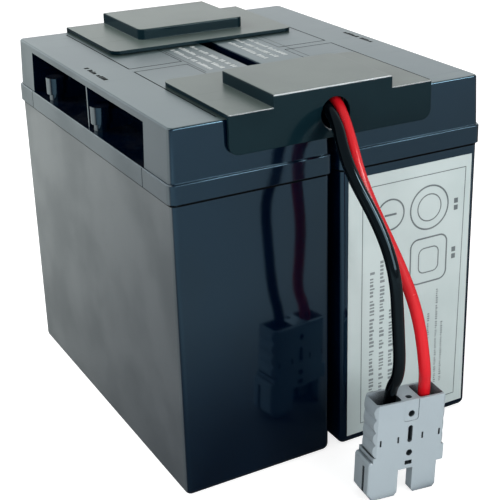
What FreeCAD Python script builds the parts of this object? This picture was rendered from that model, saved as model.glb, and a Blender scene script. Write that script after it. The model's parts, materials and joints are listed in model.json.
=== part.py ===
"""UPS battery cartridge.

Two 12 V sealed lead-acid batteries stand side by side.  A black cap covers the terminals at each end,
and two leads come out of the front cap to a two-pole power connector that stands on the floor.

Frame: millimetres, +Z up, floor at z = 0, X across the pair, -Y towards the connector.
The origin is on the floor, midway between the batteries and midway along them.
"""
import FreeCAD, Part

import math
import os

from FreeCAD import Placement, Rotation, Vector

# ---------------------------------------------------------------- driving dimensions, one battery
BATTERY_X = 39.1                    # centre of each battery, either side of the middle
CASE_HX0, CASE_HY0 = 36.2, 89.8     # half sizes at the foot of the case
CASE_HX1, CASE_HY1 = 36.7, 90.2     # half sizes at the top of the case (mould draft)
CASE_TOP = 140.0                    # rim of the case, hidden inside the lid
CASE_CORNER = 2.6
CASE_FOOT_RADIUS = 3.4
CASE_WALL = 2.3
CASE_FLOOR = 2.8
CELLS = 6
CELL_PITCH = 29.4
PARTITION = 1.6
PLATE_HX = 33.2                     # plate pack: half width, foot, top of the plates and of the straps
PLATE_Z0, PLATE_Z1, STRAP_TOP = 4.0, 109.0, 115.0
PLATE_GAP = 0.6
STRAP_X, STRAP_HX = 20.0, 6.0

SKIRT_HX, SKIRT_HY = 37.7, 91.2     # band of the lid that overlaps the case
SKIRT_Z0, SKIRT_Z1 = 136.0, 144.4
LID_HX0, LID_HY0 = 36.7, 90.2       # lid above the skirt
LID_HX1, LID_HY1 = 36.0, 89.6       # lid at its top
LID_TOP = 167.0
LID_EDGE = 0.9

# finger recess in the outer long side of the lid
RECESS_Y0, RECESS_Y1 = -65.0, 70.0
RECESS_Z0, RECESS_Z1 = 144.4, 163.7
RECESS_DEPTH = 20.0
RECESS_BEVEL = 2.0
RECESS_RIB_Y = 0.0
RECESS_RIB = 1.3
POST_Y = (-6.8, 51.0)               # stub posts on the floor of the recess
POST_SETBACK = 4.8
POST_R, POST_STEM_R = 4.4, 3.2      # thick head and thinner stem
POST_HEAD_Z, POST_TOP = 147.4, 155.4
POST_WEB, POST_WEB_TOP = 1.0, 153.0
FIN_LONG, FIN_THICK = 5.0, 1.4      # short fins on the back wall of the recess
SLIDE_MARK = 0.5                    # width and depth of the seams left by the mould slide
SLIDE_MARK_DEEP = 0.35

# valve chamber along the middle of the lid, closed by two flush plates
CHAMBER_HX = 11.4
CHAMBER_Z = 146.5
PASSAGE = 2.6
VALVE_R, VALVE_HIGH = 6.2, 9.0
VALVE_Y_MAX = 73.0                  # the end valves are moved in, clear of the chamber's end walls
CHAMBER_END = 1.6                   # ledge under each end of a plate
CORE_X0, CORE_X1, CORE_HY, CORE_TOP = 14.4, 33.6, 13.2, 163.5
COVER_HX = 13.0
COVER_THICK = 2.6
COVER_GAP = 0.3
COVERS = {"rear": (3.0, 84.0), "front": (-84.0, -3.0)}

# terminal pockets in the two inner corners of the lid
POCKET_X = 22.0
POCKET_Y = 23.5
POCKET_Z = 152.5
TERMINAL_X = 14.0                   # from the middle of the pair
TERMINAL_Y = 74.4
TERMINAL_Z = 158.4                  # seat of the lug
TERMINAL_THICK = 1.5
BOLT_R = 2.5
BOLT_CLEAR = 2.75
BOLT_ACROSS, BOLT_HEAD, NUT_HIGH = 8.0, 3.5, 4.0
SEAT_HALF = 6.0
LEG_HX, LEG_HALF = 4.0, 0.75
LEG_FOOT = 121.0
LUG_THICK = 1.0
LUG_BARREL_R, LUG_BARREL = 2.7, 6.5
STRAP_HALF = 5.0                    # half width of the lugs' tongues and of the link bar
STRAP_END = 20.0                    # both end here, beyond the bolts
LUG_BEND = 9.2                      # the tongue leaves its seat here
LINK_BENDS, LINK_RISE = (5.5, 8.5), 3.0
SEAL_HX, SEAL_HIGH = 5.5, 1.6
LEG_Y = TERMINAL_Y - 5.25           # the leg stands behind the seat

# ---------------------------------------------------------------- caps
CAP_SHIFT = {"front": -1.5, "rear": 0.0}    # taped on by hand, so not quite centred
CAP_HX = 49.0
CAP_BACK = 29.3                     # inner edge of the base, from the middle
CAP_FACE = 91.8                     # outer face of the flap
CAP_BASE_Z0, CAP_BASE_Z1 = 167.3, 169.0
CAP_FLAP_Z = 152.0
CAP_FLAP = 1.5
CAP_CORNER = 4.5
HOOD_HX = 28.6
HOOD_BACK = 44.6
HOOD_TOP = 174.2
HOOD_WALL = 1.6
HOOD_CORNER = 3.2
HOOD_EDGE = 0.7
HOOD_RIBS = (-18.0, 0.0, 18.0)
HOOD_RIB_Y = -66.0
HOOD_RIB_DEEP = 2.4
HOLE_R = 7.0
HOLE_X, HOLE_Z = 0.5, 162.3
PAD_X0, PAD_X1 = 31.0, 47.0         # adhesive pads between a cap and the lids
PAD_Y0, PAD_Y1 = -86.0, -33.0
LABEL = (6.5, 72.6, 4.3, 131.0)     # x and z limits
LABEL_THICK = 0.2
FOAM_HY = 60.0
FOAM_Z = {"lower": (20.0, 55.0), "upper": (90.0, 125.0)}

# ---------------------------------------------------------------- leads and connector
LEAD_R = 2.65
CONN_ORIGIN = (6.9, -136.6)         # middle of its front face, on the floor
CONN_TURN = -5.6                    # degrees about Z
CONN_LEAN = 2.7                     # degrees, the stiff leads hold it on one foot
CONN_HX = 17.3
CONN_THICK = 13.0
CONN_HEIGHT = 45.5
WING_X, WING_Z = 19.3, 18.7         # outer wing of the mating end, on the left
INSET_X, INSET_Z = 14.5, 12.7       # set-in side that takes the other half's wing
NOTCH_X0, NOTCH_X1, NOTCH_Z = -4.8, 2.3, 12.4
GRIP_PITCH = 6.05
GRIP_RIDGES = 4
GRIP_RISE = 0.9
GRIP_CHAMFER = (1.5, 2.6)           # across the front and the back corners of the grips
ENTRY_X0, ENTRY_X1 = 4.3, 15.9
ENTRY_FLOOR = 32.0
ENTRY_HY, ENTRY_FLARE, ENTRY_CORNER = 5.3, 0.6, 1.2
SOCKET_TOP = 21.0
LEFT_SOCKET = (-16.2, -6.6, 1.9, 11.1)      # x and y limits, closed all round
RIGHT_SOCKET = (4.2, 12.6, 2.2, 10.8)
OPEN_Y = 4.8                        # from here back, the right socket and the notch are open
WING_SLOT = (2.6, 3.6, 5.4, 15.5)   # depth, y limits and top of the slot in the wing
SCREW_R, SCREW_HOLES = 1.5, ((0.2, 38.9), (0.1, 20.1))
TOP_HOLE_R, TOP_HOLE_Y, TOP_HOLE_DEEP = 1.4, 3.4, 5.0
LONG_SLOT = (1.1, 26.3, 32.3)       # half width and the centres of its round ends
SHORT_SLOT = (1.7, 14.3, 16.3)      # half width, foot and top
PANEL = (3.6, 0.3, 35.5, 1.4)       # half width, depth, foot and corner of the panel
CATCH_X = (-14.2, -5.7, 6.1, 14.4)  # slits over the contact catches
CATCH = (0.4, 1.3, 25.9, 28.9)      # half width, depth, foot and top
BLADE_HX, BLADE_THICK, BLADE_Z, BLADE_TIP = 3.0, 1.8, 1.4, 1.2
BARREL_FOOT = 20.6
SPRING_WIDE, SPRING_THICK, SPRING_BOW = 4.8, 0.5, 1.5
SPRING_Z0, SPRING_Z1 = 6.0, 18.0
POLE = {"black": -7.9, "red": 9.2}  # lead centres, across the connector
BLADE = {"black": -10.4, "red": 8.6}
BLADE_Y = {"black": 4.4, "red": 6.0}
POLE_Y = 6.2
BARREL_TOP = 38.0
BARREL_R = 2.95


# ================================================================ helpers
def box(x0, x1, y0, y1, z0, z1):
    """Box from its limits."""
    return Part.makeBox(x1 - x0, y1 - y0, z1 - z0, Vector(x0, y0, z0))


def cylinder(radius, start, end):
    """Cylinder between two points."""
    start, end = Vector(*start), Vector(*end)
    return Part.makeCylinder(radius, (end - start).Length, start, end - start)


def drafted(hx0, hy0, z0, hx1, hy1, z1, r):
    """Block with round corners whose flat walls lean by the mould draft."""
    signs = ((-1, -1), (1, -1), (1, 1), (-1, 1))
    low = [Vector(sx * hx0, sy * hy0, z0) for sx, sy in signs]
    high = [Vector(sx * hx1, sy * hy1, z1) for sx, sy in signs]
    loops = [low[::-1], high]
    loops += [[low[i], low[(i + 1) % 4], high[(i + 1) % 4], high[i]] for i in range(4)]
    faces = [Part.Face(Part.makePolygon(loop + loop[:1])) for loop in loops]
    block = Part.Solid(Part.Shell(faces))
    upright = [e for e in block.Edges if abs(e.Vertexes[0].Z - e.Vertexes[1].Z) > 0.5 * (z1 - z0)]
    return block.makeFillet(r, upright)


def fillet_where(shape, radius, keep):
    """Round the edges whose every end point passes the test."""
    edges = [e for e in shape.Edges if all(keep(v.Point) for v in e.Vertexes)]
    return shape.makeFillet(radius, edges)


def prism(points, direction):
    """Prism over a flat polygon."""
    wire = Part.makePolygon([Vector(*p) for p in points + points[:1]])
    return Part.Face(wire).extrude(Vector(*direction))


def strip(points, thick, direction):
    """Bent sheet: a line of points in XZ, thickened upwards and extruded."""
    lower = [(x, direction[0], z) for x, z in points]
    upper = [(x, direction[0], z + thick) for x, z in reversed(points)]
    return prism(lower + upper, (0, direction[1] - direction[0], 0))


def turned(shape):
    """The same shape, turned half round about the Z axis."""
    copy = shape.copy()
    copy.rotate(Vector(0, 0, 0), Vector(0, 0, 1), 180)
    return copy


def cut_all(shape, tools):
    """Cut a list of tools away."""
    return shape.cut(Part.makeCompound(tools)).Solids[0]


def save(name, shape):
    """Write one piece."""
    shape.exportStep("parts/" + name + ".step")


# ================================================================ battery, in its own frame
# Each battery is modelled as the left one: the outer side is -X, the terminals are on +X.
def cell_centres():
    """Y of each cell."""
    return [(i - (CELLS - 1) / 2) * CELL_PITCH for i in range(CELLS)]


def cell_limits(y):
    """Walls of the cell that is centred on y: the end ones stop at the case's own wall."""
    inner = CASE_HY0 - CASE_WALL
    half = (CELL_PITCH - PARTITION) / 2
    return max(y - half, -inner), min(y + half, inner)


def valve_y(y):
    """Y of the valve of the cell that is centred on y."""
    return max(-VALVE_Y_MAX, min(VALVE_Y_MAX, y))


def make_case():
    """Moulded container with five partitions and rounded foot."""
    shape = drafted(CASE_HX0, CASE_HY0, 0, CASE_HX1, CASE_HY1, CASE_TOP, CASE_CORNER)
    shape = fillet_where(shape, CASE_FOOT_RADIUS, lambda p: p.z < 0.01)
    hx = CASE_HX0 - CASE_WALL
    cells = [box(-hx, hx, *cell_limits(y), CASE_FLOOR, CASE_TOP + 1) for y in cell_centres()]
    return cut_all(shape, cells)


def make_plate_pack(y):
    """One cell: plates and separators packed together, with the strap that joins the lugs."""
    y0, y1 = cell_limits(y)
    y0 += PLATE_GAP
    y1 -= PLATE_GAP
    block = box(-PLATE_HX, PLATE_HX, y0, y1, PLATE_Z0, PLATE_Z1)
    straps = [box(x - STRAP_HX, x + STRAP_HX, y0 + 1.5, y1 - 1.5, PLATE_Z1, STRAP_TOP)
              for x in (-STRAP_X, STRAP_X)]
    return block.fuse(straps).removeSplitter().Solids[0]


def chamber_tools():
    """Valve chambers and the steps that their two plates sit in."""
    tools = []
    for y0, y1 in COVERS.values():
        tools.append(box(-CHAMBER_HX, CHAMBER_HX, y0 + CHAMBER_END, y1 - CHAMBER_END,
                         CHAMBER_Z, LID_TOP + 1))
        step = box(-COVER_HX - COVER_GAP, COVER_HX + COVER_GAP, y0 - COVER_GAP, y1 + COVER_GAP,
                   LID_TOP - COVER_THICK, LID_TOP + 1)
        tools.append(step)
    return tools


def recess_tool():
    """Finger recess, open to the outer side, less the rib, posts and fins that stay in it."""
    outer = -SKIRT_HX - 1
    inner = -LID_HX0 + RECESS_DEPTH
    tool = box(outer, inner, RECESS_Y0, RECESS_Y1, RECESS_Z0, RECESS_Z1)
    back = [e for e in tool.Edges if all(abs(v.Point.x - inner) < 0.01 for v in e.Vertexes)]
    tool = tool.makeChamfer(RECESS_BEVEL, back)
    keep = [box(-LID_HX0 + 1.6, inner, RECESS_RIB_Y - RECESS_RIB / 2, RECESS_RIB_Y + RECESS_RIB / 2,
                RECESS_Z0, RECESS_Z1)]
    post_x = -LID_HX0 + POST_SETBACK
    for y in POST_Y:
        keep.append(cylinder(POST_STEM_R, (post_x, y, RECESS_Z0), (post_x, y, POST_HEAD_Z)))
        keep.append(cylinder(POST_R, (post_x, y, POST_HEAD_Z), (post_x, y, POST_TOP)))
        keep.append(box(post_x, inner, y - POST_WEB / 2, y + POST_WEB / 2, RECESS_Z0, POST_WEB_TOP))
    for step in (-2, -1, 1, 2):
        y = step * CELL_PITCH
        keep.append(box(inner - FIN_LONG, inner, y - FIN_THICK / 2, y + FIN_THICK / 2,
                        RECESS_Z0, RECESS_Z1))
    return tool.cut(Part.makeCompound(keep))


def make_lid():
    """Moulded lid: skirt, roof, finger recess, valve chamber, terminal pockets."""
    upper = drafted(LID_HX0, LID_HY0, SKIRT_Z1 - 0.5, LID_HX1, LID_HY1, LID_TOP, CASE_CORNER)
    upper = fillet_where(upper, LID_EDGE, lambda p: p.z > LID_TOP - 0.01)
    skirt = drafted(SKIRT_HX, SKIRT_HY, SKIRT_Z0, SKIRT_HX, SKIRT_HY, SKIRT_Z1, CASE_CORNER + 0.8)
    rim = [e for e in skirt.Edges if all(v.Z > SKIRT_Z1 - 0.01 for v in e.Vertexes)]
    skirt = skirt.makeChamfer(0.45, rim)
    lid = upper.fuse(skirt).removeSplitter()

    tools = [drafted(CASE_HX1, CASE_HY1, SKIRT_Z0 - 1, CASE_HX1, CASE_HY1, CASE_TOP, CASE_CORNER)]
    tools += chamber_tools()
    for side in (-1, 1):
        y0, y1 = sorted((side * (SKIRT_HY - POCKET_Y), side * (SKIRT_HY + 1)))
        tools.append(box(CASE_HX1 - POCKET_X, SKIRT_HX + 2, y0, y1, POCKET_Z, LID_TOP + 1))
        # slot for the terminal's leg
        leg_y = side * LEG_Y
        leg_x = BATTERY_X - TERMINAL_X
        tools.append(box(leg_x - LEG_HX, leg_x + LEG_HX, leg_y - LEG_HALF, leg_y + LEG_HALF,
                         CASE_TOP - 1, POCKET_Z + 1))
    # seams of the mould slide at the ends of the recess, in the skirt
    for y in (RECESS_Y0 + SLIDE_MARK, RECESS_Y1 + SLIDE_MARK):
        tools.append(box(-SKIRT_HX - 1, -SKIRT_HX + SLIDE_MARK_DEEP,
                         y - SLIDE_MARK / 2, y + SLIDE_MARK / 2, SKIRT_Z0 - 1, SKIRT_Z1 + 1))
    # cored-out underside between the valve chamber and the inner wall
    for y in cell_centres()[1:-1]:
        tools.append(box(CORE_X0, CORE_X1, y - CORE_HY, y + CORE_HY, CASE_TOP - 1, CORE_TOP))
    # gas passage from each cell to its valve
    for y in map(valve_y, cell_centres()):
        tools.append(box(-PASSAGE, PASSAGE, y - PASSAGE, y + PASSAGE, CASE_TOP - 1, CHAMBER_Z + 1))
    return lid.cut(Part.makeCompound(tools)).cut(recess_tool()).removeSplitter().Solids[0]


def make_vent_cover(which):
    """Plate welded flush into the top of the lid."""
    y0, y1 = COVERS[which]
    plate = box(-COVER_HX, COVER_HX, y0, y1, LID_TOP - COVER_THICK, LID_TOP)
    return plate.makeFillet(0.8, [e for e in plate.Edges if abs(e.Vertexes[0].Z - e.Vertexes[1].Z) > 1])


def make_valve_caps():
    """Rubber relief valves over the gas passages: one solid for each cell."""
    caps = []
    plug = PASSAGE - 0.3
    for y in map(valve_y, cell_centres()):
        seat = cylinder(VALVE_R, (0, y, CHAMBER_Z), (0, y, CHAMBER_Z + VALVE_HIGH))
        stem = box(-plug, plug, y - plug, y + plug, CHAMBER_Z - 3, CHAMBER_Z + 1)
        caps.append(seat.fuse(stem).removeSplitter().Solids[0])
    return Part.makeCompound(caps)


def make_terminal(side):
    """Plated terminal: a seat with a bolt hole, and a leg that goes down through the lid."""
    x = BATTERY_X - TERMINAL_X
    y = side * TERMINAL_Y
    seat = box(x - SEAT_HALF, x + SEAT_HALF, y - SEAT_HALF, y + SEAT_HALF,
               TERMINAL_Z - TERMINAL_THICK, TERMINAL_Z)
    leg_y = side * LEG_Y
    leg = box(x - LEG_HX, x + LEG_HX, leg_y - LEG_HALF, leg_y + LEG_HALF, LEG_FOOT, TERMINAL_Z)
    hole = cylinder(BOLT_CLEAR, (x, y, TERMINAL_Z - 5), (x, y, TERMINAL_Z + 5))
    corners = [e for e in seat.Edges if abs(e.Vertexes[0].Z - e.Vertexes[1].Z) > 1]
    outer = [e for e in corners if abs(e.Vertexes[0].Y) > TERMINAL_Y]
    return seat.makeFillet(3.0, outer).fuse(leg).cut(hole).removeSplitter().Solids[0]


def make_seal(side):
    """Potted resin collar round the terminal's leg, on the pocket floor."""
    x = BATTERY_X - TERMINAL_X
    y0, y1 = sorted((side * (SKIRT_HY - POCKET_Y), side * (LEG_Y + 1.15)))
    collar = box(x - SEAL_HX, x + SEAL_HX, y0, y1, POCKET_Z, POCKET_Z + SEAL_HIGH)
    leg_y = side * LEG_Y
    leg = box(x - LEG_HX, x + LEG_HX, leg_y - LEG_HALF, leg_y + LEG_HALF, LEG_FOOT, TERMINAL_Z)
    return collar.cut(leg)


# ================================================================ terminals' fasteners
def terminal_places():
    """Bolt centres, in the frame of the pair."""
    return [(sx * TERMINAL_X, sy * TERMINAL_Y) for sy in (-1, 1) for sx in (-1, 1)]


def hexagon(across, x, y, z0, z1):
    """Hexagonal prism across its flats."""
    radius = across / math.sqrt(3)
    ring = [(x + radius * math.cos(math.radians(60 * i)),
             y + radius * math.sin(math.radians(60 * i)), z0) for i in range(6)]
    return prism(ring, (0, 0, z1 - z0))


def make_bolts(lug_top):
    """Four hexagon bolts: shank through lug and terminal."""
    bolts = []
    for x, y in terminal_places():
        shank = cylinder(BOLT_R, (x, y, POCKET_Z + 0.4), (x, y, lug_top + 0.5))
        head = hexagon(BOLT_ACROSS, x, y, lug_top, lug_top + BOLT_HEAD)
        bolts.append(head.fuse(shank).removeSplitter().Solids[0])
    return Part.makeCompound(bolts)


def make_nuts():
    """Four nuts under the terminals' seats."""
    nuts = []
    for x, y in terminal_places():
        top = TERMINAL_Z - TERMINAL_THICK
        nut = hexagon(BOLT_ACROSS, x, y, top - NUT_HIGH, top)
        nuts.append(nut.cut(cylinder(BOLT_R, (x, y, top - NUT_HIGH - 1), (x, y, top + 1))))
    return Part.makeCompound(nuts)


# ================================================================ caps
def make_cap(with_hole):
    """Moulded cap, in the frame of the front one: base, raised hood, flap, stiffening ribs."""
    flap = box(-CAP_HX, CAP_HX, -CAP_FACE, -CAP_FACE + CAP_FLAP, CAP_FLAP_Z, CAP_BASE_Z1)
    base = box(-CAP_HX, CAP_HX, -CAP_FACE, -CAP_BACK, CAP_BASE_Z0, CAP_BASE_Z1)
    ends = [e for e in flap.Edges if abs(e.Vertexes[0].Y - e.Vertexes[1].Y) > 1
            and all(v.Point.z < CAP_FLAP_Z + 0.01 for v in e.Vertexes)]
    flap = flap.makeFillet(CAP_CORNER, ends)
    upright = [e for e in base.Edges if abs(e.Vertexes[0].Z - e.Vertexes[1].Z) > 1
               and e.Vertexes[0].Y > -CAP_BACK - 1]
    base = base.makeFillet(CAP_CORNER, upright)
    hood = box(-HOOD_HX, HOOD_HX, -CAP_FACE, -HOOD_BACK, CAP_BASE_Z0, HOOD_TOP)
    upright = [e for e in hood.Edges if abs(e.Vertexes[0].Z - e.Vertexes[1].Z) > 1
               and e.Vertexes[0].Y > -HOOD_BACK - 1]
    hood = hood.makeFillet(HOOD_CORNER, upright)
    hood = fillet_where(hood, HOOD_EDGE, lambda p: p.z > HOOD_TOP - 0.01)
    shell = base.fuse([flap, hood]).removeSplitter()

    inner = box(-HOOD_HX + HOOD_WALL, HOOD_HX - HOOD_WALL, -CAP_FACE + CAP_FLAP, -HOOD_BACK - HOOD_WALL,
                CAP_BASE_Z0 - 1, HOOD_TOP - HOOD_WALL)
    upright = [e for e in inner.Edges if abs(e.Vertexes[0].Z - e.Vertexes[1].Z) > 1
               and e.Vertexes[0].Y > -HOOD_BACK - HOOD_WALL - 1]
    tools = [inner.makeFillet(HOOD_CORNER - HOOD_WALL, upright)]
    if with_hole:
        tools.append(cylinder(HOLE_R, (HOLE_X, -CAP_FACE - 1, HOLE_Z),
                              (HOLE_X, -CAP_FACE + CAP_FLAP + 1, HOLE_Z)))
    shell = shell.cut(Part.makeCompound(tools))
    roof = HOOD_TOP - HOOD_WALL
    rib_end = -HOOD_BACK - HOOD_WALL + 0.2
    ribs = [box(x - 0.6, x + 0.6, HOOD_RIB_Y, rib_end, roof - HOOD_RIB_DEEP, roof + 0.2)
            for x in HOOD_RIBS]
    return shell.fuse(ribs).removeSplitter().Solids[0]


def make_cap_pads():
    """Adhesive pads between a cap's base and the two lids, in the frame of the front cap."""
    pads = []
    for side in (-1, 1):
        x0, x1 = sorted((side * PAD_X0, side * PAD_X1))
        pads.append(box(x0, x1, PAD_Y0, PAD_Y1, LID_TOP, CAP_BASE_Z0))
    return Part.makeCompound(pads)


# ================================================================ leads
def tube_along(points, radius):
    """Tube along straight runs that tangent arcs join.  Returns the solid, its length, its radii."""
    points = [Vector(*p) for p in points]
    edges = []
    radii = []
    here = points[0]
    for before, corner, after in zip(points, points[1:], points[2:]):
        back = (before - corner)
        ahead = (after - corner)
        reach = 0.45 * min(back.Length, ahead.Length)
        turn = math.pi - back.getAngle(ahead)
        bend = reach / math.tan(turn / 2)
        back.normalize()
        ahead.normalize()
        middle = back + ahead
        middle.normalize()
        centre = corner + middle * (bend / math.cos(turn / 2))
        arc_start = corner + back * reach
        arc_end = corner + ahead * reach
        arc_middle = centre - middle * bend
        edges.append(Part.LineSegment(here, arc_start).toShape())
        edges.append(Part.Arc(arc_start, arc_middle, arc_end).toShape())
        here = arc_end
        radii.append(bend)
    edges.append(Part.LineSegment(here, points[-1]).toShape())
    spine = Part.Wire(edges)
    section = Part.Wire(Part.makeCircle(radius, points[0], points[1] - points[0]))
    solid = spine.makePipeShell([section], True, False)
    return solid, spine.Length, radii


def connector_placement():
    """The connector's own frame: origin mid front face, X across, Y into it, Z up."""
    lean = Rotation(Vector(0, 1, 0), CONN_LEAN)
    turn = Rotation(Vector(0, 0, 1), CONN_TURN)
    lift = INSET_X * math.sin(math.radians(CONN_LEAN))
    return Placement(Vector(CONN_ORIGIN[0], CONN_ORIGIN[1], lift), turn.multiply(lean))


def on_connector(x, y, z):
    """A point of the connector's frame, in the frame of the pair."""
    point = connector_placement().multVec(Vector(x, y, z))
    return (point.x, point.y, point.z)


LEAD_ROUTES = {
    "red": [
        (2.6, -85.0, 166.0), (1.5, -91.4, 163.6), (-0.5, -101.6, 154.7), (-2.3, -113.7, 137.8),
        (10.9, -125.0, 100.6), (15.3, -131.0, 80.9), (16.2, -135.1, 59.4),
        on_connector(POLE["red"], POLE_Y, 49.0), on_connector(POLE["red"], POLE_Y, BARREL_TOP)],
    "black": [
        (-4.0, -85.0, 166.4), (-4.3, -96.8, 163.9), (-9.6, -113.2, 147.5), (-2.2, -127.2, 123.9),
        (-1.1, -136.8, 106.8), (0.5, -137.1, 84.3), (2.4, -136.6, 60.3),
        on_connector(POLE["black"], POLE_Y, 49.0), on_connector(POLE["black"], POLE_Y, BARREL_TOP)],
}


def make_lug(colour):
    """Crimped lug: a barrel in line with the lead, and a cranked tongue to the bolt."""
    start = Vector(*LEAD_ROUTES[colour][0])
    following = Vector(*LEAD_ROUTES[colour][1])
    along = following - start
    along.normalize()
    rear = start - along * LUG_BARREL
    barrel = Part.makeCylinder(LUG_BARREL_R, LUG_BARREL, rear, along)
    side = 1 if colour == "red" else -1
    x = side * TERMINAL_X
    high = rear.z - 1.2
    half = LUG_BARREL_R - 0.3
    line = [(rear.x - side * half, high), (rear.x + side * half, high),
            (side * LUG_BEND, TERMINAL_Z), (side * STRAP_END, TERMINAL_Z)]
    tongue = strip(line, LUG_THICK, (-TERMINAL_Y - STRAP_HALF, -TERMINAL_Y + STRAP_HALF))
    tongue = tongue.cut(cylinder(BOLT_CLEAR, (x, -TERMINAL_Y, POCKET_Z), (x, -TERMINAL_Y, HOOD_TOP)))
    return barrel.fuse(tongue).removeSplitter().Solids[0]


def make_link():
    """Plated bar that joins the rear terminals, arched over the gap between the lids."""
    top = TERMINAL_Z + LINK_RISE
    inner, outer = LINK_BENDS
    line = [(-STRAP_END, TERMINAL_Z), (-outer, TERMINAL_Z), (-inner, top), (inner, top),
            (outer, TERMINAL_Z), (STRAP_END, TERMINAL_Z)]
    bar = strip(line, LUG_THICK, (TERMINAL_Y - STRAP_HALF, TERMINAL_Y + STRAP_HALF))
    holes = [cylinder(BOLT_CLEAR, (x, TERMINAL_Y, POCKET_Z), (x, TERMINAL_Y, HOOD_TOP))
             for x in (-TERMINAL_X, TERMINAL_X)]
    return cut_all(bar, holes)


# ================================================================ connector, in its own frame
def grip_side(side, z0):
    """Points and arcs of one ridged side, from z0 up: a list of edges."""
    edges = []
    x = side * (CONN_HX - GRIP_RISE)
    z = z0
    for _ in range(GRIP_RIDGES):
        low = Vector(x, 0, z)
        middle = Vector(side * CONN_HX, 0, z + GRIP_PITCH / 2)
        z += GRIP_PITCH
        edges.append(Part.Arc(low, middle, Vector(x, 0, z)).toShape())
    return edges, Vector(x, 0, z0), Vector(x, 0, z)


def polyline(points):
    """Straight edges through points in the XZ plane."""
    vectors = [Vector(x, 0, z) for x, z in points]
    return [Part.makeLine(a, b) for a, b in zip(vectors, vectors[1:])]


def make_housing():
    """Genderless two-pole housing: grips, entries, mating end with wing and set-in side."""
    grip_z = CONN_HEIGHT - 0.6 - GRIP_RIDGES * GRIP_PITCH
    left, left_low, left_high = grip_side(-1, grip_z)
    right, right_low, right_high = grip_side(1, grip_z)
    top = [(left_high.x, left_high.z), (left_high.x + 0.6, CONN_HEIGHT),
           (right_high.x - 0.6, CONN_HEIGHT), (right_high.x, right_high.z)]
    foot = [(right_low.x, right_low.z), (CONN_HX, right_low.z), (CONN_HX, INSET_Z), (INSET_X, INSET_Z),
            (INSET_X, 1.2), (INSET_X - 1.0, 0), (NOTCH_X1 + 0.8, 0), (NOTCH_X1, 1.0),
            (NOTCH_X1, NOTCH_Z), (NOTCH_X0, NOTCH_Z), (NOTCH_X0, 1.6), (NOTCH_X0 - 1.3, 0),
            (-WING_X + 2.2, 0), (-WING_X, 3.2), (-WING_X, WING_Z - 1.0), (-WING_X + 0.8, WING_Z),
            (-CONN_HX, WING_Z), (-CONN_HX, left_low.z), (left_low.x, left_low.z)]
    edges = left + polyline(top) + list(reversed(right)) + polyline(foot)
    outline = Part.Wire(Part.__sortEdges__(edges))
    body = Part.Face(outline).extrude(Vector(0, CONN_THICK, 0))
    corners = [e for e in body.Edges if abs(e.Vertexes[0].Y - e.Vertexes[-1].Y) < 0.01
               and all(v.Z < WING_Z + 0.1 and abs(v.X) > INSET_X - 1.1 for v in e.Vertexes)]
    body = body.makeFillet(0.8, corners)
    bevels = []
    for side in (-1, 1):
        for y, into in ((0, 1), (CONN_THICK, -1)):
            reach = GRIP_CHAMFER[0 if into > 0 else 1]
            x = side * (CONN_HX + 0.1)
            wedge = [(x, y, grip_z), (x - side * reach, y, grip_z), (x, y + into * reach, grip_z)]
            bevels.append(prism(wedge, (0, 0, CONN_HEIGHT)))
    tools = bevels + entry_tools() + mating_tools() + face_tools()
    return cut_all(body, tools)


def entry_tools():
    """Flared mouths for the leads, and the bores of the two crimp barrels."""
    tools = []
    for side in (-1, 1):
        x0, x1 = sorted((side * ENTRY_X0, side * ENTRY_X1))
        half = (x1 - x0) / 2
        mouth = drafted(half - ENTRY_FLARE, ENTRY_HY - ENTRY_FLARE, ENTRY_FLOOR,
                        half, ENTRY_HY, CONN_HEIGHT + 0.01, ENTRY_CORNER)
        mouth.translate(Vector((x0 + x1) / 2, CONN_THICK / 2, 0))
        tools.append(mouth)
    for x in POLE.values():
        tools.append(cylinder(BARREL_R + 0.15, (x, POLE_Y, BARREL_FOOT - 0.6),
                              (x, POLE_Y, ENTRY_FLOOR + 0.1)))
    return tools


def mating_tools():
    """Sockets of the mating end: closed on the left, open to the back on the right."""
    deep, y0, y1, top = WING_SLOT
    return [
        box(*LEFT_SOCKET, -1, SOCKET_TOP),
        box(*RIGHT_SOCKET, -1, SOCKET_TOP),
        box(*RIGHT_SOCKET[:2], OPEN_Y, CONN_THICK + 1, -1, INSET_Z),
        box(NOTCH_X1 - 0.1, RIGHT_SOCKET[0] + 0.1, OPEN_Y, CONN_THICK + 1, -1, NOTCH_Z),
        box(-WING_X - 1, -WING_X + deep, y0, y1, -1, top)]


def face_tools():
    """Screw holes, window slots and the shallow panel between the poles."""
    through = (-1, CONN_THICK + 1)
    tools = [cylinder(SCREW_R, (x, through[0], z), (x, through[1], z)) for x, z in SCREW_HOLES]
    tools.append(cylinder(TOP_HOLE_R, (0, TOP_HOLE_Y, CONN_HEIGHT - TOP_HOLE_DEEP),
                          (0, TOP_HOLE_Y, CONN_HEIGHT + 1)))
    half, z0, z1 = SHORT_SLOT
    tools.append(box(-half, half, *through, z0, z1))
    half, z0, z1 = LONG_SLOT
    ends = [cylinder(half, (0, through[0], z), (0, through[1], z)) for z in (z0, z1)]
    tools.append(box(-half, half, *through, z0, z1).fuse(ends).removeSplitter())
    half, deep, z0, corner = PANEL
    panel = box(-half, half, -1, deep, z0, CONN_HEIGHT + 1)
    lower = [e for e in panel.Edges if all(v.Z < z0 + 0.5 for v in e.Vertexes)
             and abs(e.Vertexes[0].Y - e.Vertexes[1].Y) > 1]
    tools.append(panel.makeFillet(corner, lower))
    half, deep, z0, z1 = CATCH
    for x in CATCH_X:
        tools.append(box(x - half, x + half, -1, deep, z0, z1))
        tools.append(box(x - half, x + half, CONN_THICK - deep, CONN_THICK + 1, z0, z1))
    return tools


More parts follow.
